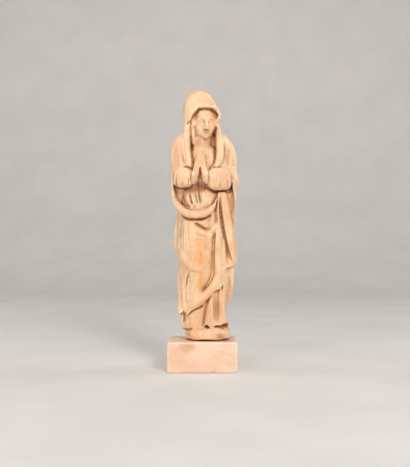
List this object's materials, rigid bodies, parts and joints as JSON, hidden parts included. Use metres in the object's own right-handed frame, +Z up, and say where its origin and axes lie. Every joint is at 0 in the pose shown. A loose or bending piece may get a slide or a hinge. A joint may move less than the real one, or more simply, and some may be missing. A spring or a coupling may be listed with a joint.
{
  "type": "ivory statuette",
  "caption": "Small carved ivory figure of a veiled woman standing in prayer, draped in a long mantle, on a plain rectangular ivory block.",
  "frame": {"origin": "middle of the block's flat underside, where the statuette stands", "axes": "+Z up through the figure; the figure faces -Y; +X towards its left hand side"},
  "size_m": [0.0399, 0.0291, 0.1564],
  "materials": {
    "aged_ivory": "old ivory, worn to a soft polish, honey patina with brown dirt in the folds",
    "pale_ivory": "paler polished ivory with fine grain and worn edges"
  },
  "bodies": {
    "root": {"figure": "aged_ivory", "block": "pale_ivory"}
  },
  "joints": []
}
